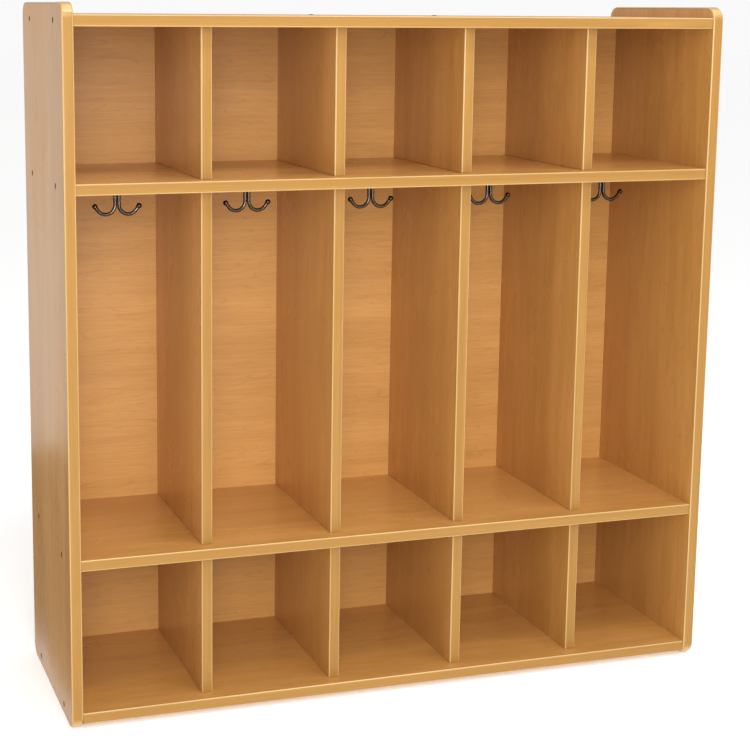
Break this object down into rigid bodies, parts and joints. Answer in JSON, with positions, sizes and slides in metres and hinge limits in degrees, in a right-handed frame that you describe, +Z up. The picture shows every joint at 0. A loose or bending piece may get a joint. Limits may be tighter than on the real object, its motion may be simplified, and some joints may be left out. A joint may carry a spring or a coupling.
{
  "type": "school locker",
  "caption": "Open maple school locker with cubbies above and below tall coat bays, a double hook in each bay, and rounded side panels.",
  "frame": {"origin": "on the floor, midway between the outer faces of the side panels and midway between their front and rear edges", "axes": "+X to the right seen from the front, -Y out of the open front, +Z up"},
  "size_m": [1.181, 0.381, 1.205],
  "materials": {
    "maple_laminate": "satin maple laminate with a golden rounded edge band",
    "back_laminate": "satin maple laminate on a thin back panel, grain across",
    "hook_metal": "dark bronze, semi-gloss",
    "screw_metal": "dark bronze plated steel"
  },
  "bodies": {
    "root": {"back_panel": "back_laminate", "back_screw_lower_1": "screw_metal", "back_screw_lower_2": "screw_metal", "back_screw_lower_3": "screw_metal", "back_screw_lower_4": "screw_metal", "back_screw_upper_1": "screw_metal", "back_screw_upper_2": "screw_metal", "back_screw_upper_3": "screw_metal", "back_screw_upper_4": "screw_metal", "bottom_panel": "maple_laminate", "coat_hook_1": "hook_metal", "coat_hook_2": "hook_metal", "coat_hook_3": "hook_metal", "coat_hook_4": "hook_metal", "coat_hook_5": "hook_metal", "hook_screw_1_left": "screw_metal", "hook_screw_1_right": "screw_metal", "hook_screw_2_left": "screw_metal", "hook_screw_2_right": "screw_metal", "hook_screw_3_left": "screw_metal", "hook_screw_3_right": "screw_metal", "hook_screw_4_left": "screw_metal", "hook_screw_4_right": "screw_metal", "hook_screw_5_left": "screw_metal", "hook_screw_5_right": "screw_metal", "left_side_panel": "maple_laminate", "left_side_screw_bottom_front": "screw_metal", "left_side_screw_bottom_rear": "screw_metal", "left_side_screw_lower_front": "screw_metal", "left_side_screw_lower_rear": "screw_metal", "left_side_screw_top_front": "screw_metal", "left_side_screw_top_rear": "screw_metal", "left_side_screw_upper_front": "screw_metal", "left_side_screw_upper_rear": "screw_metal", "lower_divider_1": "maple_laminate", "lower_divider_2": "maple_laminate", "lower_divider_3": "maple_laminate", "lower_divider_4": "maple_laminate", "lower_shelf": "maple_laminate", "middle_divider_1": "maple_laminate", "middle_divider_2": "maple_laminate", "middle_divider_3": "maple_laminate", "middle_divider_4": "maple_laminate", "right_side_panel": "maple_laminate", "right_side_screw_bottom_front": "screw_metal", "right_side_screw_bottom_rear": "screw_metal", "right_side_screw_lower_front": "screw_metal", "right_side_screw_lower_rear": "screw_metal", "right_side_screw_top_front": "screw_metal", "right_side_screw_top_rear": "screw_metal", "right_side_screw_upper_front": "screw_metal", "right_side_screw_upper_rear": "screw_metal", "top_panel": "maple_laminate", "top_screw_1": "screw_metal", "top_screw_2": "screw_metal", "upper_divider_1": "maple_laminate", "upper_divider_2": "maple_laminate", "upper_divider_3": "maple_laminate", "upper_divider_4": "maple_laminate", "upper_shelf": "maple_laminate"}
  },
  "joints": []
}
